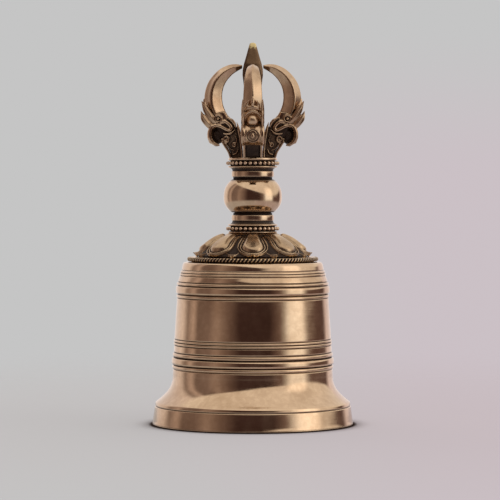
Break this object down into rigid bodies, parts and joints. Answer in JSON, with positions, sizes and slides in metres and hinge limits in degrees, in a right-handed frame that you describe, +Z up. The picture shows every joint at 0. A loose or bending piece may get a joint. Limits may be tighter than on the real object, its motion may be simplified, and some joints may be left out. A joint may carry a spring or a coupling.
{
  "type": "tibetan bell",
  "caption": "Bronze hand bell with a vajra crown handle: a banded bowl, a lotus dome, beaded collars, a round knob and beast-headed prongs, with a clapper hung inside.",
  "frame": {"origin": "middle of the mouth, in the plane of the lip that the bell stands on", "axes": "+Z up the bell's axis towards the crown's tip, -Y towards the front prong, +X towards the right prong"},
  "size_m": [0.095, 0.095, 0.18],
  "materials": {
    "bell_bronze": "polished antique bronze, browned in the grooves",
    "plate_bronze": "antique bronze, dark between the strands",
    "lotus_bronze": "antique bronze, bright on the petals and nearly black in the recesses",
    "collar_bronze": "antique bronze, dark in the grooves",
    "bead_bronze": "antique bronze, dark between the beads",
    "knob_bronze": "polished bronze, smooth from handling",
    "spike_bronze": "dark antique bronze, worn bright at the tip",
    "prong_bronze": "antique bronze, bright on the ridges and dark in the carving",
    "fastening_iron": "blackened iron",
    "stirrup_brass": "dull brass strip",
    "clapper_iron": "forged iron, lightly oxidised",
    "ball_brass": "turned brass, worn where it strikes"
  },
  "bodies": {
    "bell": {"bell_body": "bell_bronze", "rope_plate": "plate_bronze", "lotus_dome": "lotus_bronze", "lower_collar": "collar_bronze", "lower_bead_ring": "bead_bronze", "handle_knob": "knob_bronze", "upper_collar": "collar_bronze", "upper_bead_ring": "bead_bronze", "central_spike": "spike_bronze", "prong_right": "prong_bronze", "prong_back": "prong_bronze", "prong_left": "prong_bronze", "prong_front": "prong_bronze", "tie_rod": "fastening_iron", "crown_washer": "fastening_iron", "crown_nut": "fastening_iron"},
    "stirrup": {"clapper_stirrup": "stirrup_brass", "stirrup_pin": "clapper_iron"},
    "clapper": {"clapper_rod": "clapper_iron", "clapper_ball": "ball_brass"}
  },
  "joints": [
    {"name": "clapper_swivel", "type": "hinge", "parent": "bell", "child": "stirrup", "pos_m": [0, 0, 0.0577], "axis": [0, 0, 1], "continuous": true},
    {"name": "clapper_swing", "type": "hinge", "parent": "stirrup", "child": "clapper", "pos_m": [0, 0, 0.0577], "axis": [0, 1, 0], "range_deg": [-38.5, 38.5]}
  ]
}
